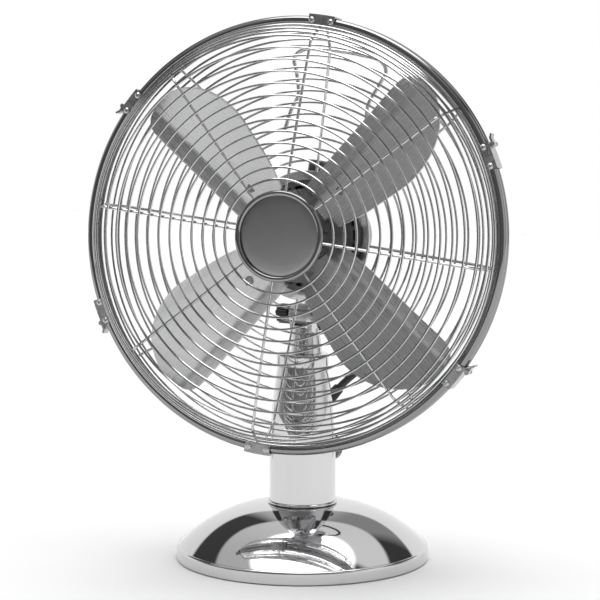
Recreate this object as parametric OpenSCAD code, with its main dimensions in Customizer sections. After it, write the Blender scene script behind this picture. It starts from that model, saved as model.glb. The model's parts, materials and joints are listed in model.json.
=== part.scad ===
// Desk fan with a tilting and oscillating head, millimetres, +Z up.
// Origin: centre of the base where it rests. The stand faces -Y.
// Head parts are drawn in a face frame: X right, Y up and Z forward along the
// motor axis, with its origin at the centre of the guard's rim.

/* [Base and pole] */
// Radius of the round base
base_r = 101.5; // [92:0.5:110]
// Height of the base's vertical skirt
skirt_h = 9; // [6:0.5:12]
// Height of the dome above the skirt
dome_h = 36.5; // [30:0.5:40]
// Largest radius of the pole
pole_r = 26.6; // [25:0.2:28]
// Radius at the top of the pole
pole_top_r = 20; // [19:0.5:22]
// Height of the top of the pole
pole_top_z = 155.5; // [150:0.5:158]
// Height of the speed knob's axis
speed_z = 84; // [70:1:96]

/* [Neck] */
// Distance of the tilt axis behind the pole's axis
tilt_y = 5; // [3:1:6]
// Height of the tilt axis
tilt_z = 195.5; // [194:0.5:197]
// Distance of the oscillation axis behind the pole's axis
swing_y = 30; // [29:1:32]
// Upward tilt of the head at rest
rest_tilt = 4.2; // [0:0.2:8]
// Sideways swing of the head at rest
rest_swing = 18; // [-20:1:20]

/* [Guard] */
// Outer radius of the rim
rim_r = 168; // [160:1:172]
// Distance of the rim in front of the oscillation axis
rim_ahead = 92; // [90:1:94]
// Height of the motor axis before the head is tilted
axis_z = 259.5; // [259:0.5:261]
// Radius of the tube that each hoop is rolled from
hoop_tube_r = 3.9; // [3.4:0.1:4]
// Radius of the guard's ring wires
ring_wire_r = 0.9; // [0.7:0.05:1.1]
// Thickness of the guard's spoke wires
spoke_w = 2.2; // [1.8:0.1:2.6]
// Number of spokes in each guard half
spoke_count = 8; // [6:1:12]
// Clockwise turn of the guard, seen from the front
guard_phase = 6.4; // [0:0.2:20]
// Distance between neighbouring rings
ring_pitch = 9; // [8:0.5:12]
// Radius of the badge at the centre of the front guard
badge_r = 34.4; // [32:0.2:36]
// Number of clips round the rim
clip_count = 6; // [4:1:6]

/* [Rotor] */
// Radius at the blade tips
tip_r = 153; // [140:1:154]
// Number of blades
blade_count = 4; // [3:1:4]
// Clockwise turn of the first blade, seen from the front
blade_phase = 44; // [0:1:90]
// Thickness of the blade sheet
blade_t = 1.4; // [1:0.1:2]
// Pitch of the blade's main panel
blade_pitch = 22; // [14:1:24]

/* [Motor] */
// Radius of the motor's front cover
motor_r = 49; // [46:0.5:50]
// Radius of the motor shaft
shaft_r = 4; // [3:0.5:5]
// Radius of the gearbox housing
gearbox_r = 30; // [29:0.5:31]

/* [Hidden] */

$fn = 64;
gap = 0.3;             // space between parts that only lie close
fit = 0.05;            // radial clearance of a running fit
press = 0.02;          // radial clearance of a fixed seat
wall = 1.5;            // sheet thickness of the base and the pole
steel = [0.80, 0.80, 0.81];
satin = [0.62, 0.62, 0.63];
dark = [0.20, 0.20, 0.21];
black = [0.06, 0.06, 0.06];
iron = [0.35, 0.35, 0.36];
copper = [0.72, 0.42, 0.22];
brass = [0.75, 0.62, 0.32];

pole_foot_z = skirt_h + dome_h - 0.6;
cap_h = 10;
post_foot_z = pole_top_z + cap_h + 0.2;
rim_y = swing_y - rim_ahead;
hoop_r = rim_r - hoop_tube_r;
hoop_u = hoop_tube_r + 0.2;
guard_in_r = 50;       // centre ring of the rear guard
plate_u = -37;         // front face of the motor's front cover
gear_x = -14;          // the vertical gear spindle, left of the motor axis
gear_u = -104;
pivot_u = -rim_ahead;
lug_x = -12;           // the drag link's post on the yoke
lug_y = 26;
link_z = tilt_z + 14.7;
link_reach = 15.8;
link_turn = 24;        // how far the link points away from straight back at rest
crank_z = tilt_z + 18;
crank_v = crank_z - axis_z;
crank_throw = 7.8;
lead_r = 3;
lead_bore = 3.8;       // the lead lies loosely in its two strain reliefs

// ---------- frames ----------

// The tilted yoke, from its level pose
module yoke_place() {
    translate([0, tilt_y, tilt_z]) rotate([-rest_tilt, 0, 0])
        translate([0, -tilt_y, -tilt_z]) children();
}

// The tilted and swung head, from its level pose
module head_place() {
    yoke_place() translate([0, swing_y, 0]) rotate([0, 0, rest_swing])
        translate([0, -swing_y, 0]) children();
}

// Face frame of the head
module face() {
    head_place() translate([0, rim_y, axis_z]) rotate([90, 0, 0]) children();
}

// Copies turned clockwise about the motor axis
module around(count, phase) {
    for (i = [0 : count - 1]) rotate([0, 0, -phase - i * 360 / count]) children();
}

// A cylinder about the motor axis from u0 to u1
module barrel(r, u0, u1) {
    translate([0, 0, u0]) cylinder(h = u1 - u0, r = r);
}

// A hollow cylinder about Z
module pipe(r_out, r_in, z0, z1) {
    translate([0, 0, z0]) difference() {
        cylinder(h = z1 - z0, r = r_out);
        translate([0, 0, -1]) cylinder(h = z1 - z0 + 2, r = r_in);
    }
}

// A cylinder along X from x0 to x1
module x_rod(r, x0, x1) {
    translate([x0, 0, 0]) rotate([0, 90, 0]) cylinder(h = x1 - x0, r = r);
}

// ---------- swept tube ----------

function unit(v) = v / norm(v);

// A point on the smooth curve through four route points
function spline(a, b, c, d, t) =
    0.5 * (2 * b + (c - a) * t + (2 * a - 5 * b + 4 * c - d) * t * t
        + (3 * b - a - 3 * c + d) * t * t * t);

// The route's points with steps points in each stretch
function smooth(route, steps) =
    let (n = len(route))
    concat(
        [for (i = [0 : n - 2]) for (s = [0 : steps - 1])
            spline(route[max(i - 1, 0)], route[i], route[i + 1],
                   route[min(i + 2, n - 1)], s / steps)],
        [route[n - 1]]);

// Direction of the path at point i
function heading(path, i) =
    unit(path[min(i + 1, len(path) - 1)] - path[max(i - 1, 0)]);

// Side vectors carried along the path without twisting
function sides(path, i, side) =
    let (s = unit(side - (side * heading(path, i)) * heading(path, i)))
    i == len(path) - 1 ? [s] : concat([s], sides(path, i + 1, s));

// A closed tube of radius r along the path, with a polygon section
module tube(path, r, facets) {
    n = len(path);
    s = sides(path, 0, [0.31, 0.52, 0.79]);
    points = [for (i = [0 : n - 1]) for (k = [0 : facets - 1])
        path[i] + r * (cos(k * 360 / facets) * s[i]
            + sin(k * 360 / facets) * cross(heading(path, i), s[i]))];
    walls = [for (i = [0 : n - 2]) for (k = [0 : facets - 1])
        [i * facets + k, (i + 1) * facets + k,
         (i + 1) * facets + (k + 1) % facets, i * facets + (k + 1) % facets]];
    ends = [[for (k = [0 : facets - 1]) k],
            [for (k = [facets - 1 : -1 : 0]) (n - 1) * facets + k]];
    polyhedron(points = points, faces = concat(walls, ends));
}

// ---------- stand ----------

// Height of the dome's outside at radius r
function dome_z(r) = skirt_h + dome_h * (1 - pow(r / base_r, 2.8));

// Outline of the dome from the pole hole to the skirt, lowered by t
function dome_line(r0, r1, t) =
    [for (i = [0 : 16]) let (r = r0 + (r1 - r0) * sin(i * 90 / 16)) [r, dome_z(r) - t]];

module base_shell() {
    hole_r = 20;
    rim_bottom = 0.6;
    inner_r = base_r - wall;
    outer = dome_line(hole_r, base_r, 0);
    inner = dome_line(hole_r, inner_r, wall);
    color(steel) difference() {
        rotate_extrude($fn = 128) polygon(concat(
            outer,
            [[base_r, rim_bottom], [inner_r, rim_bottom]],
            [for (i = [len(inner) - 1 : -1 : 0]) inner[i]]));
        translate([0, base_r - 6, 5]) rotate([-90, 0, 0]) cylinder(h = 12, r = 3.6);
    }
}

module base_weight() {
    color(iron) difference() {
        pipe(80, 30, 4, 14);
        for (a = [45 : 90 : 315]) rotate([0, 0, a]) translate([70, 0, 0])
            cylinder(h = 20, r = 2.05);
    }
}

module base_plate() {
    color(dark) difference() {
        pipe(97, 8, 2, 3.8);
        for (a = [45 : 90 : 315]) rotate([0, 0, a]) translate([70, 0, 0])
            cylinder(h = 9, r = 2.3);
    }
}

// Four feet under the edge and a pad under the tie rod
module rubber_feet() {
    color(black) {
        for (a = [0 : 90 : 270]) rotate([0, 0, a]) translate([84, 0, 0])
            cylinder(h = 1.95, r1 = 7, r2 = 7.5);
        cylinder(h = 1.95, r = 9.5);
    }
}

module base_screws() {
    color(steel) for (a = [45 : 90 : 315]) rotate([0, 0, a]) translate([70, 0, 0]) {
        translate([0, 0, 0.5]) cylinder(h = 1.45, r = 4);
        translate([0, 0, 1.95]) cylinder(h = 10, r = 2);
    }
}

module cord_gland() {
    color(black) translate([0, base_r - 3.5, 5]) rotate([-90, 0, 0]) difference() {
        union() {
            cylinder(h = 1.7, r = 4.1);
            cylinder(h = 6, r = 3.5);
            translate([0, 0, 4.4]) cylinder(h = 3, r1 = 4.9, r2 = 4.2);
        }
        translate([0, 0, -1]) cylinder(h = 12, r = 2.6);
    }
}

// Outside radius of the pole at height z
function pole_radius(z) =
    let (bend_z = 92)
    z < bend_z ? pole_r
               : pole_r - (pole_r - pole_top_r) * pow((z - bend_z) / (pole_top_z - bend_z), 1.5);

module pole_tube() {
    heights = concat([pole_foot_z], [for (i = [0 : 8]) 92 + (pole_top_z - 92) * i / 8]);
    last = len(heights) - 1;
    color(steel) difference() {
        rotate_extrude($fn = 96) polygon(concat(
            [for (z = heights) [pole_radius(z), z]],
            [for (i = [last : -1 : 0]) [pole_radius(heights[i]) - wall, heights[i]]]));
        translate([0, 0, speed_z]) rotate([-90, 0, 0]) cylinder(h = 40, r = 4.3);
        lead_entry() translate([0, 0, -12]) cylinder(h = 24, r = 5.1);
    }
}

module foot_ring() {
    inner = pole_r + 0.1;
    color(steel) translate([0, 0, dome_z(pole_r) + 0.15]) rotate_extrude($fn = 96)
        polygon([[inner, 0], [inner + 1, 0], [inner + 1.6, 0.7], [inner + 1.6, 1.7],
                 [inner + 1, 2.4], [inner, 2.4]]);
}

module tie_rod() {
    color(iron) translate([0, 0, 9]) cylinder(h = pole_top_z - 6, r = 3);
}

module tie_nuts() {
    washer_z = dome_z(24) - wall - 3.2;
    color(iron) {
        difference() {
            union() {
                translate([0, 0, washer_z]) cylinder(h = 3, r = 24);
                translate([0, 0, washer_z - 5]) cylinder(h = 5.1, r = 6, $fn = 6);
            }
            cylinder(h = 60, r = 3 + press);
        }
        translate([0, 0, pole_top_z - 12]) difference() {
            cylinder(h = 5, r = 6, $fn = 6);
            translate([0, 0, -1]) cylinder(h = 9, r = 3 + press);
        }
    }
}

module pole_cap() {
    seat_r = pole_top_r - wall - 0.2;
    color(steel) difference() {
        union() {
            translate([0, 0, pole_top_z + 0.1]) cylinder(h = cap_h - 1.6, r = pole_top_r + 1);
            translate([0, 0, pole_top_z + cap_h - 1.5])
                cylinder(h = 1.5, r1 = pole_top_r + 1, r2 = pole_top_r - 0.5);
            translate([0, 0, pole_top_z - 6]) cylinder(h = 8, r = seat_r);
        }
        translate([0, 0, pole_top_z - 7]) cylinder(h = 10.5, r = 3 + press);
    }
}

lead_in_z = 126;

// Frame of the lead's slanting entry into the pole, with Z outward and up
module lead_entry() {
    translate([0, 0, lead_in_z]) rotate([0, 0, -22]) translate([0, 25, 0])
        rotate([-50, 0, 0]) children();
}

module lead_grommet() {
    color(black) lead_entry() difference() {
        union() {
            translate([0, 0, -7]) cylinder(h = 11, r = 5);
            translate([0, 0, 3.9]) cylinder(h = 9, r1 = 5, r2 = 4.4);
        }
        translate([0, 0, -8]) cylinder(h = 30, r = lead_bore);
    }
}

module speed_switch() {
    color(dark) translate([0, 0, speed_z]) rotate([-90, 0, 0]) {
        translate([0, 0, 6]) cylinder(h = 14, r = 10);
        translate([0, 0, 20]) cylinder(h = 8.6, r = 4);
        difference() {
            translate([0, 0, 28.6]) cylinder(h = 7, r = 2.4);
            translate([-3, 1.5, 30]) cube([6, 3, 9]);
        }
    }
}

module speed_knob() {
    color(black) translate([0, 0, speed_z]) rotate([-90, 0, 0]) difference() {
        union() {
            translate([0, 0, 28.9]) cylinder(h = 3, r = 13);
            translate([0, 0, 31.9]) cylinder(h = 9, r1 = 12.4, r2 = 11);
        }
        translate([0, 0, 28]) cylinder(h = 8, r = 2.4 + fit);
        for (a = [0 : 20 : 340]) rotate([0, 0, a]) translate([13.4, 0, 32.5])
            cylinder(h = 12, r = 1.4, $fn = 16);
        translate([-0.5, -10, 40.3]) cube([1, 8, 2]);
    }
}

// ---------- neck ----------

fork_r = 9.5;
fork_in = 6.2;
fork_out = 10.7;

module neck_post() {
    top_z = tilt_z - 10;
    color(steel) translate([0, tilt_y, 0]) difference() {
        union() {
            translate([0, 0, post_foot_z]) cylinder(h = top_z - post_foot_z, r1 = 12.8, r2 = 10.9);
            for (side = [-1, 1]) {
                translate([side * (fork_in + fork_out) / 2, 0, 0]) {
                    translate([-(fork_out - fork_in) / 2, -7.5, top_z - 2])
                        cube([fork_out - fork_in, 15, 8]);
                    translate([0, 0, tilt_z])
                        x_rod(fork_r, -(fork_out - fork_in) / 2, (fork_out - fork_in) / 2);
                }
            }
        }
        translate([0, 0, tilt_z]) x_rod(3 + press, -20, 20);
    }
}

module tilt_pin() {
    color(steel) translate([0, tilt_y, tilt_z]) {
        x_rod(3, -22, 11);
        x_rod(5.5, 10.9, 14);
    }
}

module tilt_knob() {
    color(dark) translate([0, tilt_y, tilt_z]) difference() {
        union() {
            x_rod(5, -14.5, -11);
            x_rod(8, -25, -14.4);
        }
        x_rod(3 + fit, -22.5, -10);
        for (a = [0 : 30 : 330]) rotate([a, 0, 0]) translate([0, 0, 8.6])
            x_rod(1.4, -26, -13, $fn = 16);
    }
}

module yoke() {
    half = fork_in - gap;
    color(satin) yoke_place() difference() {
        union() {
            translate([0, tilt_y, tilt_z]) x_rod(9.2, -half, half);
            translate([-half, tilt_y, tilt_z - 4]) cube([2 * half, swing_y - tilt_y, 11]);
            translate([0, swing_y, tilt_z]) cylinder(h = 13.5, r = 9.5);
            translate([lug_x, lug_y, tilt_z + 3]) cylinder(h = 11.4, r = 4);
        }
        translate([0, tilt_y, tilt_z]) x_rod(3 + fit, -20, 20);
        translate([0, swing_y, tilt_z - 9]) cylinder(h = 30, r = 6 + press);
        translate([lug_x, lug_y, tilt_z + 7]) cylinder(h = 9, r = 2 + fit);
    }
}

module pivot_bush() {
    color(brass) yoke_place() translate([0, swing_y, 0])
        pipe(6, 4 + fit, tilt_z + 0.5, tilt_z + 13.4);
}

module pivot_spindle() {
    color(steel) head_place() translate([0, swing_y, 0]) {
        translate([0, 0, tilt_z - 3]) cylinder(h = axis_z - 34.8 - tilt_z + 3, r = 4);
        translate([0, 0, tilt_z - 7]) cylinder(h = 4.5, r = 5.6);
    }
}

// ---------- gearbox and motor ----------

// The vertical hole of radius r through the gearbox at (x, u), from v0 to v1
module down_hole(x, u, v0, v1, r) {
    translate([x, v0, u]) rotate([-90, 0, 0]) cylinder(h = v1 - v0, r = r);
}

// Frame of the lead's exit from the gearbox, with Z outward
module lead_port() {
    translate([0, 0, -96]) rotate([0, 0, -44]) rotate([0, 90, 0]) children();
}

module gearbox_housing() {
    color(dark) face() difference() {
        union() {
            difference() {
                barrel(gearbox_r, -118, -88);
                barrel(gearbox_r - 2.5, -119, -90.5);
            }
            down_hole(0, pivot_u, -44, -24, 8);
            down_hole(gear_x, gear_u, 20, 34, 6);
            down_hole(gear_x, gear_u, -36, -22, 6);
        }
        barrel(33.4, -88, -80);
        down_hole(0, pivot_u, -45, -34.6, 4 + press);
        down_hole(gear_x, gear_u, -40, 40, 3 + fit);
        barrel(5.6, -92, -80);
        lead_port() translate([0, 0, 20]) cylinder(h = 20, r = 4.1);
    }
}

module gearbox_cover() {
    color(dark) face() rotate_extrude() polygon(concat(
        [[0, -128]],
        [for (a = [75 : -15 : 0]) [gearbox_r * cos(a), -118.2 - 9.8 * sin(a)]],
        [[gearbox_r - 2.4, -118.2]],
        [for (a = [15 : 15 : 75]) [(gearbox_r - 2.4) * cos(a), -118.2 - 7.6 * sin(a)]],
        [[0, -125.8]]));
}

module motor_shell() {
    color(dark) face() difference() {
        rotate_extrude() polygon([
            [motor_r - 1, -40.3], [motor_r - 1.5, -44], [44, -52], [40.5, -64],
            [37.5, -76], [33, -84], [29, -87.7],
            [12, -87.7], [12, -85.5], [28, -85.5], [31.5, -82],
            [35.4, -75], [38.4, -63], [41.8, -51.5], [motor_r - 3.6, -43.5],
            [motor_r - 3.2, -40.3]]);
        around(12, 0) translate([-1.5, 20, -90]) cube([3, 7, 9]);
    }
}

// The motor's front cover: a low dome with four rows of curved vent slots
module motor_front_cover() {
    slot_w = 2.6;
    color(dark) face() difference() {
        rotate_extrude() polygon([
            [6.5, plate_u + 1.6], [12, plate_u + 1.6], [motor_r - 5, plate_u], [motor_r, plate_u - 1.2],
            [motor_r, plate_u - 3.2], [motor_r - 4.2, plate_u - 3.2], [motor_r - 6, plate_u - 2.2],
            [12, plate_u - 1.4], [12, plate_u - 4], [6.5, plate_u - 4]]);
        for (row = [0 : 3]) let (r = 16.5 + row * 7.4, slots = 10 + 4 * row)
            around(slots, row * 9) rotate([0, 0, 90])
                translate([0, 0, plate_u - 6]) rotate_extrude(angle = 260 / slots)
                    translate([r - slot_w / 2, 0]) square([slot_w, 12]);
        around(4, 45 + guard_phase) translate([0, motor_r - 2.4, plate_u - 8])
            cylinder(h = 12, r = 1.3);
    }
}

module cover_screws() {
    color(steel) face() around(4, 45 + guard_phase) translate([0, motor_r - 2.4, 0]) {
        barrel(1.25, plate_u - 3, plate_u + 1.7);
        difference() {
            barrel(2.6, plate_u + 1.6, plate_u + 3);
            translate([-3, -0.4, plate_u + 2.4]) cube([6, 0.8, 2]);
        }
    }
}

module front_bearing() {
    color(brass) face() pipe(6.4, shaft_r + fit, plate_u - 3.8, plate_u + 1.4);
}

module rear_bearing() {
    color(brass) face() pipe(11.8, shaft_r + fit, -87.5, -84);
}

module stator_core() {
    color(iron) face() difference() {
        barrel(35, -74, -52);
        barrel(22.6, -75, -51);
        around(8, 0) translate([0, 27.5, -76]) cylinder(h = 30, r = 3.6);
    }
}

module stator_coils() {
    color(copper) face() {
        pipe(33, 23.5, -51.8, -46);
        pipe(31, 23.5, -79, -74.2);
    }
}

module motor_shaft() {
    color(steel) face() barrel(shaft_r, -97, 10);
}

module rotor_core() {
    color(iron) face() pipe(22, shaft_r + press, -74, -52);
}

module worm() {
    color(brass) face() difference() {
        barrel(5, -114, -97.1);
        for (i = [0 : 5]) translate([0, 0, -112 + 2.6 * i])
            pipe(6, 3.8, 0, 1.1);
    }
}

module gear_spindle() {
    color(brass) face() {
        down_hole(gear_x, gear_u, crank_v, 50, 3);
        translate([gear_x, 0, gear_u]) rotate([-90, 0, 0]) {
            difference() {
                pipe(8.7, 2.9, -3, 3);
                for (a = [0 : 20 : 340]) rotate([0, 0, a]) translate([8.9, 0, -4])
                    cylinder(h = 8, r = 0.8, $fn = 16);
            }
            pipe(9.9, 2.9, crank_v, crank_v + 2.4);
            translate([-crank_throw, 0, crank_v - 1]) cylinder(h = 1.2, r = 2);
        }
    }
}

module swing_knob() {
    color(dark) face() translate([gear_x, 0, gear_u]) rotate([-90, 0, 0]) difference() {
        union() {
            translate([0, 0, 42]) cylinder(h = 9, r = 5);
            translate([0, 0, 50.9]) cylinder(h = 9, r1 = 8.5, r2 = 7.6);
        }
        translate([0, 0, 41]) cylinder(h = 9.5, r = 3 + fit);
        for (a = [0 : 30 : 330]) rotate([0, 0, a]) translate([8.9, 0, 50])
            cylinder(h = 12, r = 1.2, $fn = 16);
    }
}

// The drag link, with the pin that turns in the yoke's lug; its far end lies
// under the crank pin with a small gap
module drag_link() {
    color(iron) yoke_place() translate([lug_x, lug_y, 0]) rotate([0, 0, link_turn]) {
        translate([-2.5, 0, link_z]) cube([5, link_reach, 2]);
        translate([0, link_reach, link_z]) cylinder(h = 2, r = 3.5);
        translate([0, 0, link_z]) cylinder(h = 2, r = 3.9);
        translate([0, 0, link_z - 6]) cylinder(h = 6.5, r = 2);
    }
}

// ---------- lead from the motor to the pole ----------

lead_upper_route = [[23.5, 44.5, 231.5], [29, 46, 226], [36, 49, 219], [43, 53, 210],
                    [47, 57, 199], [47, 59, 187], [43.2, 58.1, 175.6]];
lead_lower_route = [[43, 58, 175], [36, 54, 163], [27, 48, 152], [17, 39.5, 141],
                    [13, 31.5, 134], [9.5, 23, 126]];

module strain_relief() {
    color(black) face() lead_port() difference() {
        union() {
            translate([0, 0, gearbox_r - 3]) cylinder(h = 3.3, r = 4);
            translate([0, 0, gearbox_r + 0.3]) cylinder(h = 3, r = 6.2);
            translate([0, 0, gearbox_r + 3.2]) cylinder(h = 10, r1 = 5.4, r2 = 4.5);
        }
        translate([0, 0, gearbox_r + 2]) cylinder(h = 20, r = lead_bore);
    }
}

module motor_lead_upper() {
    color(black) tube(smooth(lead_upper_route, 4), lead_r, 10);
}

module motor_lead_lower() {
    color(black) tube(smooth(lead_lower_route, 4), lead_r, 10);
}

// ---------- guard ----------

// Depth of a guard half at radius r from the rim's plane: nearly flat, then a
// tight bend down to the hoop
function depth_front(r) = r < 147 ? 34 - 6 * pow(r / 150, 2)
    : 28.2 - 22 * pow((r - 147) / 14, 1.5);
function depth_rear(r) = r < 144 ? 36.5 - 12.5 * pow(max(r - 50, 0) / 94, 1.4)
    : 24 - 17.2 * pow((r - 144) / 17, 1.3);

// Radii of the rings, closer together round the bend
edge_r = 159;
function ring_radii(first, bend) = concat(
    [for (r = [first : ring_pitch : bend - 3]) r],
    [for (i = [0 : 3]) bend + (edge_r - bend) * i / 3]);

front_radii = ring_radii(43, 150);
rear_radii = ring_radii(59, 147);
spoke_end_r = 160.5;
front_line = [for (r = [badge_r + 0.15, 90, 128, 145, 150, 154, 157.5, spoke_end_r])
    [r, depth_front(r)]];
rear_line = [for (r = [guard_in_r - 0.4, 90, 126, 140, 146, 151, 156, spoke_end_r])
    [r, depth_rear(r)]];
ring_lift = ring_wire_r + spoke_w / 2 - 0.5;

// The points of a line moved by d to its outer side
function moved(line, d) =
    let (n = len(line))
    [for (i = [0 : n - 1])
        let (run = unit(line[min(i + 1, n - 1)] - line[max(i - 1, 0)]))
        line[i] + d * [-run[1], run[0]]];

// Height at radius r of the line through the points [radius, height]
function height_at(line, r) = lookup(r, line);

// A spoke bent along the points [radius, depth]
module spoke(line) {
    n = len(line);
    upper = moved(line, spoke_w / 2);
    lower = moved(line, -spoke_w / 2);
    rotate([90, 0, 90]) translate([0, 0, -spoke_w / 2]) linear_extrude(spoke_w)
        polygon(concat(upper, [for (i = [n - 1 : -1 : 0]) lower[i]]));
}

// Ring wires of one guard half, sunk a little into the spokes' outer side
module rings(line, radii) {
    lifted = moved(line, ring_lift);
    for (r = radii) rotate_extrude($fn = 96)
        translate([r, height_at(lifted, r)]) circle(r = ring_wire_r, $fn = 8);
}

module front_guard() {
    color(steel) face() rotate([0, 0, -guard_phase]) {
        around(spoke_count, 0) spoke(front_line);
        rings(front_line, front_radii);
    }
}

module rear_guard() {
    color(steel) face() rotate([0, 0, -guard_phase]) {
        mirror([0, 0, 1]) {
            around(spoke_count, 0) spoke(rear_line);
            rings(rear_line, rear_radii);
        }
        difference() {
            pipe(guard_in_r + 1, motor_r - 5, plate_u + 0.2, plate_u + 1.5);
            around(4, 45) translate([0, motor_r - 2.4, plate_u - 2]) cylinder(h = 6, r = 1.4);
        }
    }
}

// A hoop of round tube at depth u
module hoop(u) {
    color(steel) face() translate([0, 0, u]) rotate_extrude($fn = 128)
        translate([hoop_r, 0]) circle(r = hoop_tube_r, $fn = 32);
}

module front_hoop() { hoop(hoop_u); }
module rear_hoop() { hoop(-hoop_u); }

handle_route = [[-32, 78, -36], [-31, 95, -42], [-29, 108, -48], [-34, 124, -52],
                [-38, 136, -52], [-31, 144, -52], [-15, 146, -52], [0, 146.5, -52],
                [15, 146, -52], [31, 144, -52], [38, 136, -52], [34, 124, -52],
                [29, 108, -48], [31, 95, -42], [32, 78, -36]];

module carry_handle() {
    color(steel) face() rotate([0, 0, -guard_phase])
        tube(smooth([for (p = handle_route) [p[0], p[1], p[2] - 3.4]], 3), 1.6, 10);
}

module badge_ring() {
    color(steel) face() rotate_extrude($fn = 96) polygon([
        [badge_r - 4, 31], [badge_r, 31], [badge_r + 0.3, 33.5], [badge_r - 0.3, 36],
        [badge_r - 1.6, 37.3], [badge_r - 3, 36.6], [badge_r - 4, 35]]);
}

module badge_disc() {
    disc_r = badge_r - 4.2;
    color(satin) face() rotate_extrude($fn = 96) polygon(concat(
        [[0, 31.5], [disc_r, 31.5], [disc_r, 34]],
        [for (a = [75 : -15 : 0]) [disc_r * sin(a), 34 + 1.4 * cos(a)]]));
}

clip_arc = 7;          // degrees of rim that a clip plate covers
pin_turn = 2.6;        // the lever's pin from the plate's middle
pin_r = rim_r + 3.4;
lever_spots = [1, 2, 4, 5];   // clips with a lever, counted clockwise from the top one

// One clip plate: a bracket round both hoops
module clip_plate() {
    lip = 1.2;
    front_u = 2 * hoop_tube_r + 0.35;
    inner = rim_r + 0.3;
    outer = inner + lip;
    rotate([0, 0, 90 - clip_arc / 2]) rotate_extrude(angle = clip_arc, $fn = 128) polygon([
        [rim_r - 6, front_u + lip], [outer, front_u + lip], [outer, -front_u - lip],
        [rim_r - 6, -front_u - lip], [rim_r - 6, -front_u], [inner, -front_u],
        [inner, front_u], [rim_r - 6, front_u]]);
}

module clip_plates() {
    color(steel) face() around(clip_count, guard_phase) clip_plate();
}

module clip_rivets() {
    color(steel) face() around(clip_count, guard_phase) {
        for (side = [-1, 1]) rotate([0, 0, side * 2.6])
            translate([0, rim_r - 3.2, 2 * hoop_tube_r + 1.65]) {
                cylinder(h = 0.9, r = 2.5);
                translate([0, 0, 0.9]) cylinder(h = 0.8, r1 = 2.3, r2 = 1.2);
            }
    }
    color(steel) face() for (spot = lever_spots)
        rotate([0, 0, -guard_phase - spot * 360 / clip_count + pin_turn]) translate([0, pin_r, -5]) {
            cylinder(h = 10, r = 1.2);
            for (z = [-1.1, 9.9]) translate([0, 0, z]) cylinder(h = 1.2, r = 1.8);
        }
}

// The lever of one clip, closed along the rim
module clip_lever(index) {
    color(dark) face() rotate([0, 0, -guard_phase - lever_spots[index - 1] * 360 / clip_count + pin_turn])
        translate([0, pin_r, -4.7]) linear_extrude(9.4) difference() {
            union() {
                circle(r = 1.6);
                polygon([[0, -0.8], [-5.4, -0.8], [-8.2, 1.4], [-7.3, 2.4], [-4.8, 0.8], [0, 0.8]]);
            }
            circle(r = 1.2 + fit);
        }
}

module clip_lever_1() { clip_lever(1); }
module clip_lever_2() { clip_lever(2); }
module clip_lever_3() { clip_lever(3); }
module clip_lever_4() { clip_lever(4); }

// ---------- rotor ----------

fold_b = -11;          // where the leading strip is folded, left of the blade's axis
fold_u = -11;
rivet_a = 51;          // distance of a blade's rivet from the motor axis

// Blade outline, seen from the front: b to the right and a outward
module blade_outline() {
    offset(r = 11, $fn = 48) offset(delta = -11) polygon([
        [-23, 32], [-31, tip_r - 4], [-8, tip_r + 2], [9, tip_r - 4],
        [24, tip_r - 17], [34.5, 112], [35.5, 96], [32, 76], [27, 52], [20, 32]]);
}

// Section across the blade, b to the right and -u up, shifted forward by lift
module blade_section(lift, t) {
    line = [[-40, fold_u - 1], [fold_b - 4, fold_u], [fold_b + 4, fold_u + 1.9],
            [50, fold_u + 61 * tan(blade_pitch)]];
    polygon(concat([for (p = line) [p[0], -p[1] - lift]],
                   [for (i = [3 : -1 : 0]) [line[i][0], -line[i][1] - lift + t]]));
}

module blade_sheet(lift, t) {
    rotate([-90, 0, 0]) linear_extrude(170) blade_section(lift, t);
}

module blade(index) {
    color(satin) face() rotate([0, 0, -blade_phase - (index - 1) * 90]) difference() {
        intersection() {
            blade_sheet(0, blade_t);
            translate([0, 0, -40]) linear_extrude(80) blade_outline();
        }
        translate([0, rivet_a, -40]) cylinder(h = 80, r = 2.02);
    }
}

module blade_1() { blade(1); }
module blade_2() { blade(2); }
module blade_3() { blade(3); }
module blade_4() { blade(4); }

// Height of the blade's front face above its rivet
rivet_u = fold_u + 11 * tan(blade_pitch);

module blade_hub() {
    color(steel) face() difference() {
        union() {
            rotate_extrude() polygon([
                [0, -30], [11, -30], [11, -18], [30, -16], [36, -14.2],
                [36, -12.6], [29, -13.4], [11, -14], [11, -6], [0, -6]]);
            rotate([0, 0, -blade_phase]) around(blade_count, 0) intersection() {
                blade_sheet(-blade_t - 0.1, 1.8);
                translate([-8, 26, -40]) cube([16, 32, 80]);
            }
        }
        barrel(shaft_r + press, -40, 0);
        rotate([0, 0, -blade_phase]) around(blade_count, 0)
            translate([0, rivet_a, -40]) cylinder(h = 80, r = 2.02);
    }
}

module blade_rivets() {
    color(steel) face() rotate([0, 0, -blade_phase]) around(blade_count, 0)
        translate([0, rivet_a, 0]) {
            barrel(2, rivet_u - 6, rivet_u + 1.6);
            barrel(3.6, rivet_u + 1.6, rivet_u + 2.6);
            barrel(3.4, rivet_u - 7, rivet_u - 6);
        }
}

module spinner() {
    color(dark) face() difference() {
        rotate_extrude() polygon([[0, -5.8], [13, -5.8], [13, -1], [11, 6], [6, 12], [0, 13]]);
        barrel(shaft_r + press, -7, 10.2);
    }
}

// ---------- drawing ----------

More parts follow.
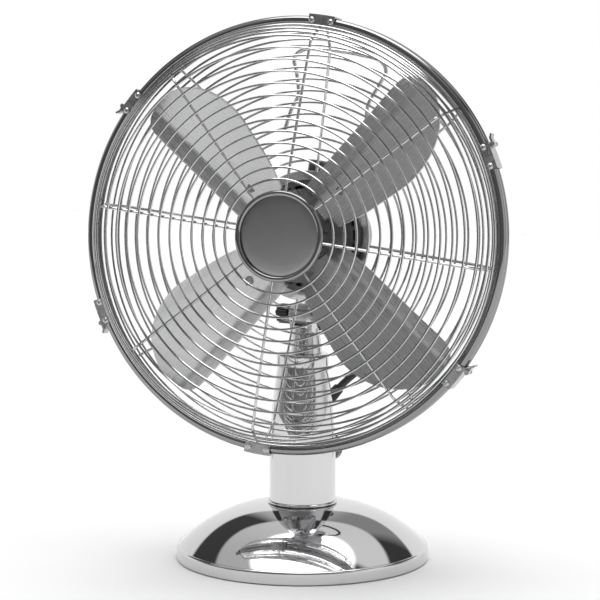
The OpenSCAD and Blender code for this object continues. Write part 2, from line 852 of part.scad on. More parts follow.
base_shell();
base_weight();
base_plate();
rubber_feet();
base_screws();
cord_gland();
foot_ring();
pole_tube();
tie_rod();
tie_nuts();
pole_cap();
lead_grommet();
speed_switch();
speed_knob();
neck_post();
tilt_pin();
tilt_knob();
yoke();
pivot_bush();
pivot_spindle();
gearbox_housing();
gearbox_cover();
motor_shell();
motor_front_cover();
cover_screws();
front_bearing();
rear_bearing();
stator_core();
stator_coils();
strain_relief();
motor_lead_upper();
motor_lead_lower();
rear_guard();
rear_hoop();
front_guard();
front_hoop();
carry_handle();
badge_ring();
badge_disc();
clip_plates();
clip_rivets();
clip_lever_1();
clip_lever_2();
clip_lever_3();
clip_lever_4();
motor_shaft();
rotor_core();
worm();
blade_hub();
blade_1();
blade_2();
blade_3();
blade_4();
blade_rivets();
spinner();
gear_spindle();
swing_knob();
drag_link();
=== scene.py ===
"""Desk fan: the looks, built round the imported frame. Metres, +Z up, the stand faces -Y."""
import json
import math

import bmesh
import bpy
from mathutils import Matrix, Vector


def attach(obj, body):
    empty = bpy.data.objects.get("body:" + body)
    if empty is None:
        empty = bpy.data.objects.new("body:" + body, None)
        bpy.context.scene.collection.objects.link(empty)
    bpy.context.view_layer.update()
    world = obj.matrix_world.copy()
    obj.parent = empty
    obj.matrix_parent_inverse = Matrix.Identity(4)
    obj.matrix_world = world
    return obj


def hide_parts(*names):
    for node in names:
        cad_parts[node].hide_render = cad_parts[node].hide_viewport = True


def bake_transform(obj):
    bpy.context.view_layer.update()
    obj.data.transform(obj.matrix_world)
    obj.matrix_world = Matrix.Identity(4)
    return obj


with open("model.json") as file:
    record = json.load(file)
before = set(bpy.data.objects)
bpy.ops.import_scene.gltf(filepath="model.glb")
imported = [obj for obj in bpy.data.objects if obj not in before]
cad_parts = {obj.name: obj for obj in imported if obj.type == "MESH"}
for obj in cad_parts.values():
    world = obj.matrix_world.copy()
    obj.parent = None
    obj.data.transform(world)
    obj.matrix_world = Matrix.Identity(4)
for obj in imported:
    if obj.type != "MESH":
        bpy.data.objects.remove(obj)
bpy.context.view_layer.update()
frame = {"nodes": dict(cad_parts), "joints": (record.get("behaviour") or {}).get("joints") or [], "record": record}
NODES = frame["nodes"]
JOINTS = {joint["name"]: joint for joint in frame["joints"]}
MM = 0.001

# ---------- camera ----------

CAMERA_AZIMUTH = 35.69  # where the camera looks from, in degrees from the stand's front, towards +X
CAMERA_PLACE = 35.62  # azimuth of the camera's own place, a little off, as the fan isn't quite centred
CAMERA_DISTANCE = 1.661  # from the pole's axis
CAMERA_HEIGHT = 0.3915
CAMERA_PITCH = 6.30  # degrees below the horizon
CAMERA_LENS = 125.7


def make_camera():
    azimuth = math.radians(CAMERA_PLACE)
    data = bpy.data.cameras.new("camera")
    data.lens = CAMERA_LENS
    data.clip_end = 50
    camera = bpy.data.objects.new("camera", data)
    camera.location = (
        math.sin(azimuth) * CAMERA_DISTANCE,
        -math.cos(azimuth) * CAMERA_DISTANCE,
        CAMERA_HEIGHT,
    )
    camera.rotation_euler = (math.radians(90 - CAMERA_PITCH), 0, math.radians(CAMERA_AZIMUTH))
    bpy.context.scene.collection.objects.link(camera)
    bpy.context.scene.camera = camera


# ---------- the head's own frame: X right, Y up, Z forward, in millimetres ----------

FORWARD = Vector(JOINTS["blade_spin"]["axis"]).normalized()
UP = Vector(JOINTS["oscillation"]["axis"]).normalized()
RIGHT = UP.cross(FORWARD)
CENTRE = Vector(JOINTS["blade_spin"]["pos_m"])
FACE = Matrix.Translation(CENTRE) @ Matrix((RIGHT, UP, FORWARD)).transposed().to_4x4() @ Matrix.Scale(MM, 4)
STAND = Matrix.Scale(MM, 4)

RIM_R = 168
HOOP_TUBE_R = 3.9
HOOP_U = HOOP_TUBE_R + 0.2
RING_WIRE_R = 0.9
SPOKE_R = 1.1
SPOKE_COUNT = 8
GUARD_PHASE = 6.4  # degrees clockwise, seen from the front
RING_PITCH = 9
RING_POINTS = 160
EDGE_R = 159  # the outermost ring
BADGE_R = 34.4
PLATE_U = -37  # the motor's front face, which the rear guard's plate lies against
BLADE_PHASE = 44


def turned(clockwise):
    """A turn about the motor's axis by so many degrees clockwise, as seen from the front."""
    return Matrix.Rotation(math.radians(-clockwise), 4, "Z")


# ---------- mesh building ----------


def joined(parts):
    """One (points, faces) pair from several."""
    points, faces = [], []
    for part_points, part_faces in parts:
        start = len(points)
        points += part_points
        faces += [tuple(start + i for i in face) for face in part_faces]
    return points, faces


def moved(part, matrix):
    """The part with its points put through matrix."""
    points, faces = part
    return [matrix @ Vector(p) for p in points], faces


def revolved(outline, segments=192):
    """A closed outline of (radius, height) points, turned about Z."""
    count = len(outline)
    points, faces = [], []
    for s in range(segments):
        angle = 2 * math.pi * s / segments
        points += [Vector((r * math.cos(angle), r * math.sin(angle), h)) for r, h in outline]
        following = (s + 1) % segments
        for i in range(count):
            j = (i + 1) % count
            faces.append((s * count + i, following * count + i, following * count + j, s * count + j))
    return points, faces


def swept(path, radius, sides=10, closed=False):
    """A round tube along path."""
    path = [Vector(p) for p in path]
    count = len(path)
    side = Vector((0.31, 0.52, 0.79))
    points, faces = [], []
    for i, p in enumerate(path):
        before = path[i - 1] if i or closed else path[0]
        after = path[(i + 1) % count] if i < count - 1 or closed else path[-1]
        heading = (after - before).normalized()
        side = (side - side.dot(heading) * heading).normalized()
        other = heading.cross(side)
        for k in range(sides):
            angle = 2 * math.pi * k / sides
            points.append(p + radius * (math.cos(angle) * side + math.sin(angle) * other))
    for i in range(count if closed else count - 1):
        j = (i + 1) % count
        for k in range(sides):
            m = (k + 1) % sides
            faces.append((i * sides + k, i * sides + m, j * sides + m, j * sides + k))
    if not closed:
        faces.append(tuple(reversed(range(sides))))
        faces.append(tuple((count - 1) * sides + k for k in range(sides)))
    return points, faces


def spline(route, steps):
    """A smooth line through the route's points."""
    route = [Vector(p) for p in route]
    last = len(route) - 1
    line = []
    for i in range(last):
        a, b, c, d = (route[max(0, min(last, i + k))] for k in (-1, 0, 1, 2))
        for s in range(steps):
            t = s / steps
            line.append(
                0.5 * (2 * b + (c - a) * t + (2 * a - 5 * b + 4 * c - d) * t * t
                       + (3 * b - a - 3 * c + d) * t * t * t)
            )
    line.append(route[last])
    return line


def arc(cx, cy, radius, start, end, steps):
    """Points of an arc in degrees, as (x, y) pairs."""
    return [
        (cx + radius * math.cos(math.radians(start + (end - start) * i / steps)),
         cy + radius * math.sin(math.radians(start + (end - start) * i / steps)))
        for i in range(steps + 1)
    ]


def piece(name, part, material, body, replaced=(), matrix=STAND, sharp=35):
    """Makes a mesh object of part, which is in millimetres in matrix's frame."""
    points, faces = part
    mesh = bpy.data.meshes.new(name)
    mesh.from_pydata([matrix @ Vector(p) for p in points], [], faces)
    bm = bmesh.new()
    bm.from_mesh(mesh)
    bmesh.ops.remove_doubles(bm, verts=bm.verts, dist=1e-7)
    bmesh.ops.recalc_face_normals(bm, faces=bm.faces)
    for face in bm.faces:
        face.smooth = True
    for edge in bm.edges:
        if len(edge.link_faces) == 2:
            edge.smooth = edge.calc_face_angle(0) < math.radians(sharp)
    bm.to_mesh(mesh)
    bm.free()
    made = bpy.data.objects.new(name, mesh)
    bpy.context.scene.collection.objects.link(made)
    mesh.materials.append(material)
    if body:
        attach(made, body)
    if replaced:
        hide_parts(*replaced)
    return made


# ---------- materials ----------


class Shader:
    """A new material with a Principled shader and short ways to add nodes."""

    def __init__(self, name, **sockets):
        self.material = bpy.data.materials.new(name)
        self.material.use_nodes = True
        self.tree = self.material.node_tree
        self.shader = self.tree.nodes["Principled BSDF"]
        self.where = self.node("ShaderNodeTexCoord").outputs["Object"]
        for socket, value in sockets.items():
            self.shader.inputs[socket.replace("_", " ")].default_value = value

    def node(self, kind, **settings):
        made = self.tree.nodes.new(kind)
        for key, value in settings.items():
            setattr(made, key, value)
        return made

    def link(self, source, target):
        self.tree.links.new(source, target)

    def stretched(self, scale, source):
        """source, or the object's own coordinates, scaled along each axis."""
        mapping = self.node("ShaderNodeMapping")
        mapping.inputs["Scale"].default_value = scale
        self.link(source or self.where, mapping.inputs["Vector"])
        return mapping.outputs["Vector"]

    def noise(self, scale, detail=4, stretch=None, source=None):
        made = self.node("ShaderNodeTexNoise")
        made.inputs["Scale"].default_value = scale
        made.inputs["Detail"].default_value = detail
        vector = self.stretched(stretch, source) if stretch else (source or self.where)
        self.link(vector, made.inputs["Vector"])
        return made.outputs["Fac"]

    def ramp(self, value, low, high, start=0.3, end=0.7):
        """Maps value from start..end to low..high."""
        made = self.node("ShaderNodeMapRange")
        made.inputs["From Min"].default_value = start
        made.inputs["From Max"].default_value = end
        made.inputs["To Min"].default_value = low
        made.inputs["To Max"].default_value = high
        self.link(value, made.inputs["Value"])
        return made.outputs["Result"]

    def colours(self, value, low, high, start=0.3, end=0.7):
        """Base colour from low, where value is start or less, to high, where it is end or more."""
        made = self.node("ShaderNodeValToRGB")
        made.color_ramp.elements[0].position = start
        made.color_ramp.elements[1].position = end
        made.color_ramp.elements[0].color = (*low, 1)
        made.color_ramp.elements[1].color = (*high, 1)
        self.link(value, made.inputs["Fac"])
        self.link(made.outputs["Color"], self.shader.inputs["Base Color"])

    def roughness(self, value, low, high):
        self.link(self.ramp(value, low, high), self.shader.inputs["Roughness"])

    def bump(self, value, strength, distance=0.0005):
        made = self.node("ShaderNodeBump")
        made.inputs["Strength"].default_value = strength
        made.inputs["Distance"].default_value = distance
        self.link(value, made.inputs["Height"])
        self.link(made.outputs["Normal"], self.shader.inputs["Normal"])


def grey(level):
    """A grey with a trace of blue, as plated steel has."""
    return (level, level, level * 1.01)


def chrome(name, level, rough):
    """Bright plate with faint smudges and hairline polish marks."""
    made = Shader(name, Metallic=1.0)
    smudge = made.noise(9, 5)
    made.colours(smudge, grey(level - 0.03), grey(level + 0.03))
    made.roughness(smudge, rough, rough + 0.04)
    made.bump(made.noise(900, 2, stretch=(1, 1, 0.15)), 0.012)
    return made.material


def satin(name, level, rough, stretch, scale, uv=False, bump=0.08, spread=0.07):
    """Brushed sheet metal: fine streaks along one direction over soft mottling."""
    made = Shader(name, Metallic=1.0)
    source = made.node("ShaderNodeUVMap").outputs["UV"] if uv else None
    streak = made.noise(scale, 8, stretch=stretch, source=source)
    mottle = made.noise(14, 3)
    mix = made.node("ShaderNodeMath", operation="ADD")
    made.link(made.ramp(streak, 0, 0.7, 0.2, 0.8), mix.inputs[0])
    made.link(made.ramp(mottle, 0, 0.3, 0.2, 0.8), mix.inputs[1])
    made.colours(mix.outputs[0], grey(level - spread), grey(level + spread), 0.1, 0.9)
    made.roughness(streak, rough - 0.05, rough + 0.08)
    made.bump(streak, bump, 0.0002)
    return made.material


def painted(name, level):
    """Sprayed metallic paint: fine flake grain and a light orange peel."""
    made = Shader(name, Metallic=0.6)
    flake = made.noise(1400, 2)
    made.colours(flake, grey(level * 0.85), grey(level * 1.12))
    made.roughness(made.noise(30, 3), 0.35, 0.48)
    made.bump(made.noise(420, 2), 0.06, 0.0003)
    return made.material


def plastic(name, level, rough):
    """Moulded plastic with a fine spark-eroded grain."""
    made = Shader(name, IOR=1.49)
    made.colours(made.noise(25, 4), grey(level * 0.8), grey(level * 1.25))
    made.roughness(made.noise(60, 3), rough - 0.06, rough + 0.1)
    made.bump(made.noise(2200, 2), 0.12, 0.0002)
    return made.material


def metal(name, colour, rough, grain=300):
    """Plain metal of a given colour with a cast or turned grain."""
    made = Shader(name, Metallic=1.0)
    low = tuple(c * 0.85 for c in colour)
    high = tuple(min(1, c * 1.15) for c in colour)
    made.colours(made.noise(40, 5), low, high)
    made.roughness(made.noise(90, 3), rough - 0.05, rough + 0.12)
    made.bump(made.noise(grain, 3), 0.15, 0.0002)
    return made.material


def winding(name):
    """Varnished copper wire wound about the motor's axis."""
    made = Shader(name, Metallic=1.0)
    wave = made.node("ShaderNodeTexWave", wave_type="RINGS", rings_direction="SPHERICAL")
    wave.inputs["Scale"].default_value = 260
    wave.inputs["Distortion"].default_value = 1.2
    made.link(made.where, wave.inputs["Vector"])
    made.colours(wave.outputs["Fac"], (0.30, 0.10, 0.04), (0.75, 0.36, 0.16), 0.2, 0.8)
    made.roughness(made.noise(50, 3), 0.25, 0.4)
    made.bump(wave.outputs["Fac"], 0.5, 0.0004)
    return made.material


MATERIALS = {
    "chrome": chrome("chrome", 0.66, 0.02),
    "guard_chrome": chrome("guard_chrome", 0.62, 0.12),
    "hoop_chrome": chrome("hoop_chrome", 0.30, 0.07),
    "clip_steel": satin("clip_steel", 0.45, 0.28, (1, 1, 1), 220),
    "fastener_steel": satin("fastener_steel", 0.58, 0.25, (1, 1, 1), 260),
    "blade_aluminium": satin("blade_aluminium", 0.62, 0.28, (220, 3, 1), 1, uv=True, bump=0.001,
                             spread=0.015),
    "hub_steel": satin("hub_steel", 0.55, 0.28, (1, 1, 1), 160),
    "motor_paint": painted("motor_paint", 0.42),
    "cover_paint": painted("cover_paint", 0.20),
    "dark_plastic": plastic("dark_plastic", 0.03, 0.28),
    "gland_rubber": plastic("gland_rubber", 0.02, 0.6),
    "lead_sheath": plastic("lead_sheath", 0.03, 0.45),
    "iron_core": metal("iron_core", (0.22, 0.22, 0.22), 0.5),
    "winding_copper": winding("winding_copper"),
    "bearing_brass": metal("bearing_brass", (0.70, 0.52, 0.26), 0.3),
    "yoke_metal": metal("yoke_metal", (0.50, 0.50, 0.51), 0.4, 500),
    "switch_plastic": plastic("switch_plastic", 0.05, 0.45),
}


def finish_cad_nodes():
    """Gives every CAD node the material of its slot in the record."""
    for row in frame["record"]["subparts"]:
        node = NODES.get(row["node"])
        if node:
            node.data.materials.clear()
            node.data.materials.append(MATERIALS[row["material_slot"]])


# ---------- stand ----------

BASE_R = 101.5
SKIRT_H = 9
DOME_H = 36.5
DOME_POWER = 2.8  # how late the dome falls away towards its edge
DOME_HOLE_R = 20
SHOULDER_R = 2.2
POLE_R = 26.6
POLE_BEND_Z = 92  # above this the pole narrows
POLE_TOP_R = 20
POLE_TOP_Z = 155.5
COLLAR_H = 10
WALL = 1.5


def dome_z(r):
    """Height of the dome's outside at radius r."""
    return SKIRT_H + DOME_H * (1 - (r / BASE_R) ** DOME_POWER)


def make_base():
    """The pressed dome: a rounded shoulder, a short skirt and a rolled bottom lip."""
    reach = BASE_R - SHOULDER_R - DOME_HOLE_R
    radii = [DOME_HOLE_R + reach * math.sin(math.pi / 2 * i / 60) for i in range(61)]
    top = [(r, dome_z(r)) for r in radii]
    last_r, last_z = top[-1]
    drop = min(last_z - 0.7, 2.4)
    bend = [
        (last_r + (BASE_R - last_r) * math.sin(math.pi / 2 * i / 8),
         last_z - drop * (1 - math.cos(math.pi / 2 * i / 8)))
        for i in range(1, 9)
    ]
    lip = arc(BASE_R - 0.8, 1.4, 0.8, 0, -90, 5)
    inside = [(BASE_R - WALL, 0.6), (BASE_R - WALL, last_z - drop - 1)]
    under = [(r, z - WALL) for r, z in reversed(top[:-6])]
    piece("base_skin", revolved(top + bend + lip + inside + under, 256), MATERIALS["chrome"], "stand",
          ["base_shell"])


def pole_radius(z):
    """Outside radius of the pole at height z."""
    if z < POLE_BEND_Z:
        return POLE_R
    return POLE_R - (POLE_R - POLE_TOP_R) * ((z - POLE_BEND_Z) / (POLE_TOP_Z - POLE_BEND_Z)) ** 1.5


def make_pole():
    """The pole's tube, the bead round its foot and the collar on its top."""
    foot_z = SKIRT_H + DOME_H - 0.6
    heights = [foot_z + (POLE_TOP_Z - foot_z) * i / 48 for i in range(49)]
    outside = [(pole_radius(z), z) for z in heights]
    inside = [(pole_radius(z) - WALL, z) for z in reversed(heights)]
    piece("pole_skin", revolved(outside + inside), MATERIALS["chrome"], "stand", ["pole_tube"])
    bead_z = dome_z(POLE_R) + 0.15
    bead_arc = arc(POLE_R + 0.5, bead_z + 1.2, 1.2, -90, 90, 14)
    bead = [(POLE_R + 0.1, bead_z), *bead_arc, (POLE_R + 0.1, bead_z + 2.4)]
    piece("foot_bead", revolved(bead), MATERIALS["chrome"], "stand", ["foot_ring"])
    low, high = POLE_TOP_Z + 0.1, POLE_TOP_Z + COLLAR_H
    r = POLE_TOP_R + 1
    bottom_edge = arc(r - 0.8, low + 0.8, 0.8, -90, 0, 6)
    top_edge = arc(r - 1.4, high - 1.4, 1.4, 0, 90, 8)
    collar = [(1, low), *bottom_edge, *top_edge, (1, high)]
    piece("collar", revolved(collar), MATERIALS["chrome"], "stand", ["pole_cap"])


# ---------- guard ----------

SPOKE_END_R = 160.5
FRONT_FIRST_RING, FRONT_BEND = 43, 150  # radii of the first ring and of the bend towards the rim
REAR_FIRST_RING, REAR_BEND = 59, 147
SPOKE_INNER_R = 49.6  # inner end of the rear spokes, on the plate round the motor
PLATE_INNER_R, PLATE_OUTER_R = 44, 50.6
WELD_SINK = 0.35  # how far the ring wires are pressed into the spokes


def depth_front(r):
    """Height of the front spokes in front of the rim's middle at radius r."""
    if r < 147:
        return 34 - 6 * (r / 150) ** 2
    return 28.2 - 22 * ((r - 147) / 14) ** 1.5


def depth_rear(r):
    """Depth of the rear spokes behind the rim's middle at radius r."""
    if r < 144:
        return 36.5 - 12.5 * (max(r - 50, 0) / 94) ** 1.4
    return 24 - 17.2 * ((r - 144) / 17) ** 1.3


def ring_radii(first, bend):
    """Radii of the rings, closer together round the bend."""
    radii = []
    r = first
    while r <= bend - 3:
        radii.append(r)
        r += RING_PITCH
    return radii + [bend + (EDGE_R - bend) * i / 3 for i in range(4)]


def guard_half(depth, first_ring, bend, inner_r, side):
    """Ring wires and round spokes; side is 1 in front of the rim and -1 behind it."""
    step = 0.5
    lift = RING_WIRE_R + SPOKE_R - WELD_SINK
    parts = []
    for r in ring_radii(first_ring, bend):
        slope = (depth(r + step) - depth(r - step)) / (2 * step)
        scale = math.hypot(1, slope)
        ring_r = r - slope * lift / scale
        height = depth(r) + lift / scale
        angles = [2 * math.pi * i / RING_POINTS for i in range(RING_POINTS)]
        circle = [(ring_r * math.cos(angle), ring_r * math.sin(angle), side * height) for angle in angles]
        parts.append(swept(circle, RING_WIRE_R, 8, closed=True))
    line = [inner_r + (SPOKE_END_R - inner_r) * math.sin(math.pi / 2 * i / 40) for i in range(41)]
    for i in range(SPOKE_COUNT):
        path = [(0, r, side * depth(r)) for r in line]
        parts.append(moved(swept(path, SPOKE_R, 10), turned(i * 360 / SPOKE_COUNT)))
    return moved(joined(parts), turned(GUARD_PHASE))


def make_guard():
    """Both wire halves, the rear one with its plate, and the two hoops of the rim."""
    front = guard_half(depth_front, FRONT_FIRST_RING, FRONT_BEND, BADGE_R + 0.2, 1)
    piece("front_wires", front, MATERIALS["guard_chrome"], "head", ["front_guard"], FACE)
    rear = guard_half(depth_rear, REAR_FIRST_RING, REAR_BEND, SPOKE_INNER_R, -1)
    plate_edge = arc(50.4, PLATE_U + 0.85, 0.65, -60, 90, 6)
    plate = [(PLATE_INNER_R, PLATE_U + 0.2), (PLATE_OUTER_R, PLATE_U + 0.2), *plate_edge,
             (PLATE_INNER_R, PLATE_U + 1.5)]
    piece("rear_wires", joined([rear, revolved(plate)]), MATERIALS["guard_chrome"], "head",
          ["rear_guard"], FACE)
    for name, u, node in (("front_rim", HOOP_U, "front_hoop"), ("rear_rim", -HOOP_U, "rear_hoop")):
        section = arc(RIM_R - HOOP_TUBE_R, u, HOOP_TUBE_R, 0, 345, 23)
        piece(name, revolved(section, 320), MATERIALS["hoop_chrome"], "head", [node], FACE)


HANDLE_ROUTE = [
    (-32, 78, -36), (-31, 95, -42), (-29, 108, -48), (-34, 124, -52), (-38, 136, -52), (-31, 144, -52),
    (-15, 146, -52), (0, 146.5, -52), (15, 146, -52), (31, 144, -52), (38, 136, -52), (34, 124, -52),
    (29, 108, -48), (31, 95, -42), (32, 78, -36),
]
HANDLE_SETBACK = 3.4  # how far the route is moved back
HANDLE_WIRE_R = 1.6


def make_handle():
    """The wire handle on top of the rear guard."""
    path = spline([(x, y, z - HANDLE_SETBACK) for x, y, z in HANDLE_ROUTE], 10)
    wire = moved(swept(path, HANDLE_WIRE_R, 12), turned(GUARD_PHASE))
    piece("handle_wire", wire, MATERIALS["guard_chrome"], "head", ["carry_handle"], FACE)


BEZEL_BACK_U = 31
DISC_BACK_U = 31.5
DISC_EDGE_U = 34  # front of the disc at its edge
DISC_RISE = 1.4  # how much further its middle stands out


def make_badge():
    """The bezel and the low-domed disc in the middle of the front guard."""
    r = BADGE_R
    roll = arc(r - 2, 34.6, 2.3, -35, 140, 20)
    bezel = revolved([(r - 4, BEZEL_BACK_U), (r - 0.3, BEZEL_BACK_U), *roll, (r - 4, 35)])
    piece("badge_bezel", bezel, MATERIALS["hoop_chrome"], "head", ["badge_ring"], FACE)
    disc_r = r - 4.2
    angles = [math.pi / 2 * i / 24 for i in range(25)]
    crown = [(disc_r * math.sin(angle), DISC_EDGE_U + DISC_RISE * math.cos(angle)) for angle in angles]
    face = [(0.05, DISC_BACK_U), (0.05, crown[0][1])] + crown[1:] + [(disc_r, DISC_BACK_U)]
    piece("badge_face", revolved(face), badge_satin(), "head", ["badge_disc"], FACE)


def badge_satin():
    """Bead-blasted disc with a very fine grain and soft wear."""
    made = Shader("badge_satin", Metallic=1.0)
    wear = made.noise(18, 3)
    made.colours(wear, grey(0.33), grey(0.37))
    made.roughness(made.noise(1800, 2), 0.30, 0.38)
    made.bump(made.noise(2600, 2), 0.04, 0.0001)
    return made.material


# ---------- blades ----------

# a runs outward along the blade, b across it to the right and u towards the front
BLADE_ROOT_A = 32
BLADE_END_A = 153.9
BLADE_T = 1.4
BLADE_EDGE_R = 0.35
BLADE_STEP = 90  # degrees from one blade to the next
FOLD_U = -11
FOLD_B = -11
FOLD_SPREAD = 5  # half the width that the fold is spread over
FOLD_DRIFT = 0.05  # the fold leans to the left by this much for each millimetre outward
FOLD_START_A = 60  # where it is at FOLD_B
FACE_LIFT = 0.7  # from the middle of the sheet to its front face
PANEL_SLOPE = 22.7 / 57
STRIP_SLOPE = 1 / 25
LEADING = [(32, -23), (70, -25.6), (105, -28), (134, -30), (144, -29), (150, -24.5), (153, -17), (154, -8)]
TRAILING = [(32, 20), (52, 27), (76, 32), (96, 35.3), (112, 34), (125, 30), (136, 23.5), (144, 16), (150, 7),
            (153.2, -1), (154, -8)]


def blade_edge(points, a):
    """b of an edge at distance a from the motor's axis, on a smooth line through its points."""
    line = spline([(x, y, 0) for x, y in points], 12)
    for p, q in zip(line, line[1:]):
        if p.x <= a <= q.x:
            return p.y + (q.y - p.y) * (a - p.x) / max(q.x - p.x, 1e-9)
    return line[-1].y


def blade_height(a, b):
    """Front face of the blade: a narrow leading strip, a soft fold and the main panel."""
    fold = FOLD_B - FOLD_DRIFT * (a - FOLD_START_A)
    base = FOLD_U + (fold - FOLD_B) * PANEL_SLOPE
    d = b - fold
    t = max(0, min(1, (d + FOLD_SPREAD) / (2 * FOLD_SPREAD)))
    strip = base + FACE_LIFT + d * STRIP_SLOPE
    panel = base + FACE_LIFT + d * PANEL_SLOPE
    return strip + (panel - strip) * t


def make_blade(index):
    """One pressed blade, with its grain along its length."""
    rows, columns = 90, 36
    points, faces, uvs = [], [], []
    for i in range(rows + 1):
        a = BLADE_ROOT_A + (BLADE_END_A - BLADE_ROOT_A) * math.sin(math.pi / 2 * i / rows)
        low, high = blade_edge(LEADING, a), blade_edge(TRAILING, a)
        for k in range(columns + 1):
            b = low + (high - low) * k / columns
            points.append((b, a, blade_height(a, b)))
            uvs.append((b / 100, a / 100))
    for i in range(rows):
        for k in range(columns):
            n = i * (columns + 1) + k
            faces.append((n, n + 1, n + columns + 2, n + columns + 1))
    name = f"blade_skin_{index}"
    matrix = FACE @ turned(BLADE_PHASE + (index - 1) * BLADE_STEP)
    made = piece(name, (points, faces), MATERIALS["blade_aluminium"], "rotor",
                 [f"blade_{index}"], matrix, 60)
    layer = made.data.uv_layers.new(name="UVMap")
    for loop in made.data.loops:
        layer.data[loop.index].uv = uvs[loop.vertex_index]
    sheet = made.modifiers.new("sheet", "SOLIDIFY")
    sheet.thickness = BLADE_T * MM
    sheet.offset = -1
    edge = made.modifiers.new("edge", "BEVEL")
    edge.width = BLADE_EDGE_R * MM
    edge.segments = 2
    edge.limit_method = "ANGLE"
    edge.angle_limit = math.radians(60)


# ---------- lead ----------

LEAD_R = 3
LEAD_UPPER = [(23.5, 44.5, 231.5), (29, 46, 226), (36, 49, 219), (43, 53, 210), (47, 57, 199), (47, 59, 187),
              (43.2, 58.1, 175.6)]
LEAD_LOWER = [(43, 58, 175), (36, 54, 163), (27, 48, 152), (17, 39.5, 141), (13, 31.5, 134), (9.5, 23, 126)]


def make_lead():
    """The lead from the gearbox to the pole, in two pieces that meet at the yoke."""
    for name, route, bodies in (
        ("lead_upper", LEAD_UPPER, ("head", "yoke_body")),
        ("lead_lower", LEAD_LOWER[::-1], ("stand", "yoke_body")),
    ):
        line = spline(route, 8)
        made = piece(name, swept(line, LEAD_R, 16), MATERIALS["lead_sheath"], None,
                     [f"motor_{name}"])
        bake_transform(made)


# ---------- stage ----------

FLOOR_SIZE = 6
CARD_Z = 0.004  # just above the floor
# (degrees round from the camera's side, to its right, and brightness), at three heights above the horizon
LOW_LEVELS = [(-180, 1.0), (-150, 0.9), (-115, 0.9), (-92, 0.30), (-60, 0.12), (-10, 0.20),
              (30, 0.20), (60, 0.9), (80, 0.9), (100, 0.5), (125, 0.95), (180, 1.0)]
MIDDLE_LEVELS = [(-180, 0.60), (-172, 0.5), (-166, 0.06), (-104, 0.05), (-98, 0.45), (-60, 0.35),
                 (-30, 0.20), (25, 0.22), (50, 0.75), (84, 0.75), (92, 0.05), (138, 0.05), (148, 0.3),
                 (168, 0.3), (180, 0.60)]
HIGH_LEVELS = [(-180, 0.75), (-120, 0.55), (-60, 0.55), (-50, 0.10), (-20, 0.08), (-8, 0.65), (40, 0.65),
               (48, 0.06), (92, 0.06), (100, 0.8), (140, 0.8), (180, 0.75)]
OVERHEAD = 3.9  # brightness of the ceiling
# heights, as the sine of the elevation, between which one set of levels gives way to the next
LOW_TO_MIDDLE = (0.42, 0.46)
MIDDLE_TO_HIGH = (0.68, 0.71)
HIGH_TO_OVERHEAD = (0.88, 0.92)
MIX_COLOURS = (6, 7)  # the mix node's two colour inputs
MIX_RESULT = 2  # and its colour output


def studio(right, away, height):
    """A point in the studio: right and away as the camera sees them, from the pole's axis."""
    turn = Matrix.Rotation(math.radians(CAMERA_AZIMUTH), 3, "Z")
    return turn @ Vector((right, away, height))


def flat_sheet(name, corners, material):
    """A flat four-cornered object with material."""
    mesh = bpy.data.meshes.new(name)
    mesh.from_pydata(corners, [], [(0, 1, 2, 3)])
    mesh.materials.append(material)
    made = bpy.data.objects.new(name, mesh)
    bpy.context.scene.collection.objects.link(made)
    return made


def make_floor():
    """The white paper that the fan stands on."""
    made = Shader("floor_paper", Roughness=0.9)
    made.colours(made.noise(3, 3), (0.93, 0.93, 0.93), (0.96, 0.96, 0.96))
    half = FLOOR_SIZE / 2
    corners = [(-half, -half, 0), (half, -half, 0), (half, half, 0), (-half, half, 0)]
    floor = flat_sheet("floor", corners, made.material)


def card(name, corners, level):
    """A grey card that only reflections see; corners are (right, away) on the floor."""
    made = Shader(name, Roughness=0.8)
    made.colours(made.noise(4, 3), grey(level * 0.9), grey(level * 1.1))
    flat = flat_sheet(name, [studio(right, away, CARD_Z) for right, away in corners], made.material)
    flat.visible_camera = False
    flat.visible_diffuse = False
    flat.visible_shadow = False


def make_cards():
    """Two narrow dark strips on the floor, seen in the edges of the pole."""
    card("strip_left", [(-0.34, 0.24), (-1.5, 0.9), (-1.5, 1.35), (-0.34, 0.36)], 0.25)
    card("strip_right", [(0.34, 0.26), (1.5, 1.15), (1.5, 1.35), (0.34, 0.31)], 0.05)


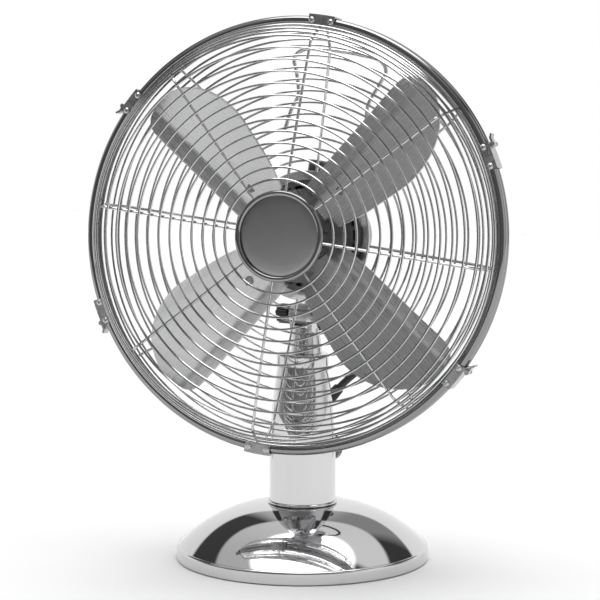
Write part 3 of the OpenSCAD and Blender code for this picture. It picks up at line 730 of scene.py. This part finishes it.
def make_world():
    """A studio, white behind the fan and darker on the camera's side, with flags and a bright ceiling."""
    world = bpy.data.worlds.new("studio")
    bpy.context.scene.world = world
    world.use_nodes = True
    tree = world.node_tree
    background = tree.nodes["Background"]

    def node(kind, **settings):
        made = tree.nodes.new(kind)
        for key, value in settings.items():
            setattr(made, key, value)
        return made

    def smooth(value, start, end):
        """0 up to start, 1 from end, and a soft step between."""
        made = node("ShaderNodeMapRange", interpolation_type="SMOOTHSTEP")
        made.inputs["From Min"].default_value = start
        made.inputs["From Max"].default_value = end
        tree.links.new(value, made.inputs["Value"])
        return made.outputs["Result"]

    def mixed(share, low, high):
        """low where share is 0 and high where it is 1; each is a level or a socket."""
        made = node("ShaderNodeMix", data_type="RGBA")
        tree.links.new(share, made.inputs["Factor"])
        for socket, colour in zip(MIX_COLOURS, (low, high)):
            if isinstance(colour, float):
                made.inputs[socket].default_value = (colour, colour, colour, 1)
            else:
                tree.links.new(colour, made.inputs[socket])
        return made.outputs[MIX_RESULT]

    def round_levels(value, levels):
        """Brightness from value, the share of a full turn."""
        made = node("ShaderNodeValToRGB")
        elements = made.color_ramp.elements
        while len(elements) < len(levels):
            elements.new(1.0)
        for element, (degrees, level) in zip(elements, levels):
            element.position = (degrees + 180) / 360
            element.color = (level, level, level, 1)
        tree.links.new(value, made.inputs["Fac"])
        return made.outputs["Color"]

    turn = node("ShaderNodeVectorRotate", rotation_type="Z_AXIS")
    turn.inputs["Angle"].default_value = -math.radians(CAMERA_AZIMUTH)
    tree.links.new(node("ShaderNodeTexCoord").outputs["Generated"], turn.inputs["Vector"])
    split = node("ShaderNodeSeparateXYZ")
    tree.links.new(turn.outputs["Vector"], split.inputs["Vector"])
    towards = node("ShaderNodeMath", operation="MULTIPLY")
    towards.inputs[1].default_value = -1
    tree.links.new(split.outputs["Y"], towards.inputs[0])
    azimuth = node("ShaderNodeMath", operation="ARCTAN2")
    tree.links.new(split.outputs["X"], azimuth.inputs[0])
    tree.links.new(towards.outputs[0], azimuth.inputs[1])
    share = node("ShaderNodeMapRange")
    share.inputs["From Min"].default_value = -math.pi
    share.inputs["From Max"].default_value = math.pi
    tree.links.new(azimuth.outputs[0], share.inputs["Value"])
    low = round_levels(share.outputs["Result"], LOW_LEVELS)
    middle = round_levels(share.outputs["Result"], MIDDLE_LEVELS)
    high = round_levels(share.outputs["Result"], HIGH_LEVELS)
    height = split.outputs["Z"]
    walls = mixed(smooth(height, *LOW_TO_MIDDLE), low, middle)
    sides = mixed(smooth(height, *MIDDLE_TO_HIGH), walls, high)
    around = mixed(smooth(height, *HIGH_TO_OVERHEAD), sides, OVERHEAD)
    seen = mixed(node("ShaderNodeLightPath").outputs["Is Camera Ray"], around, 1.0)
    tree.links.new(seen, background.inputs["Color"])


make_camera()
make_lead()
finish_cad_nodes()
make_base()
make_pole()
make_guard()
make_handle()
make_badge()
for blade in range(1, 5):
    make_blade(blade)
make_floor()
make_cards()
make_world()
bpy.context.scene.view_settings.view_transform = "Standard"
